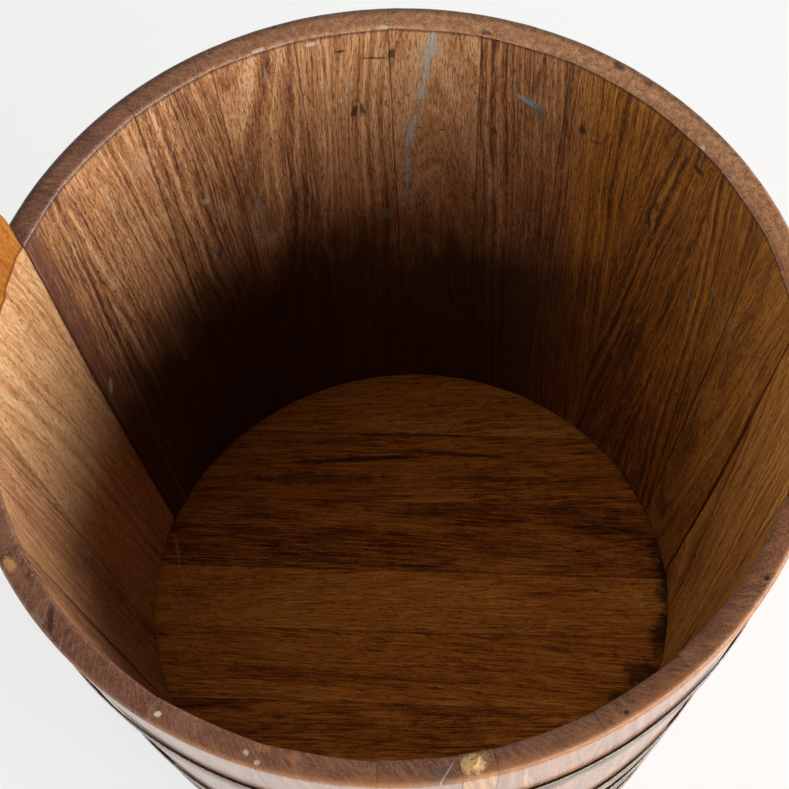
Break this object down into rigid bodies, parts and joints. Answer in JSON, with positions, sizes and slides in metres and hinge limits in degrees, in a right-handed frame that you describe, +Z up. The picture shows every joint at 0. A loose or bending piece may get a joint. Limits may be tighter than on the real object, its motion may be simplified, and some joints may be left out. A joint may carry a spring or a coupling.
{
  "type": "wooden planter tub",
  "caption": "Round tapered tub of upright wooden staves in flat metal hoops, with a board floor and two tall staves as carrying ears.",
  "frame": {"origin": "middle of the foot, on the plane that the staves' lower ends stand on", "axes": "+Z up along the tub's axis, +X towards the right ear, +Y towards the back of the tub"},
  "size_m": [0.629, 0.5979, 0.525],
  "materials": {
    "stave_wood": "lacquered teak, worn inside",
    "ear_wood": "lacquered teak",
    "closing_wood": "lacquered teak sapwood",
    "floor_wood": "oiled teak",
    "dowel_wood": "plain wood",
    "hoop_steel": "flat steel strip, dark at its edges",
    "rivet_steel": "steel rivet"
  },
  "bodies": {
    "root": {"left_ear_stave": "ear_wood", "back_stave_01": "stave_wood", "back_stave_02": "stave_wood", "back_stave_03": "stave_wood", "back_stave_04": "stave_wood", "back_stave_05": "stave_wood", "back_stave_06": "stave_wood", "back_stave_07": "stave_wood", "back_stave_08": "stave_wood", "back_stave_09": "stave_wood", "back_stave_10": "stave_wood", "back_stave_11": "stave_wood", "right_ear_stave": "ear_wood", "front_stave_01": "stave_wood", "front_stave_02": "stave_wood", "front_stave_03": "stave_wood", "front_stave_04": "stave_wood", "closing_stave": "closing_wood", "front_stave_06": "stave_wood", "front_stave_07": "stave_wood", "front_stave_08": "stave_wood", "front_stave_09": "stave_wood", "front_stave_10": "stave_wood", "front_stave_11": "stave_wood", "front_stave_12": "stave_wood", "floor_board_1": "floor_wood", "floor_board_2": "floor_wood", "floor_board_3": "floor_wood", "floor_board_4": "floor_wood", "floor_board_5": "floor_wood", "floor_board_6": "floor_wood", "floor_board_7": "floor_wood", "floor_dowel_01": "dowel_wood", "floor_dowel_02": "dowel_wood", "floor_dowel_03": "dowel_wood", "floor_dowel_04": "dowel_wood", "floor_dowel_05": "dowel_wood", "floor_dowel_06": "dowel_wood", "floor_dowel_07": "dowel_wood", "floor_dowel_08": "dowel_wood", "floor_dowel_09": "dowel_wood", "floor_dowel_10": "dowel_wood", "floor_dowel_11": "dowel_wood", "floor_dowel_12": "dowel_wood", "top_hoop": "hoop_steel", "top_hoop_rivet_1": "rivet_steel", "top_hoop_rivet_2": "rivet_steel", "upper_hoop": "hoop_steel", "upper_hoop_rivet_1": "rivet_steel", "upper_hoop_rivet_2": "rivet_steel", "lower_hoop": "hoop_steel", "lower_hoop_rivet_1": "rivet_steel", "lower_hoop_rivet_2": "rivet_steel", "foot_hoop": "hoop_steel", "foot_hoop_rivet_1": "rivet_steel", "foot_hoop_rivet_2": "rivet_steel"}
  },
  "joints": []
}
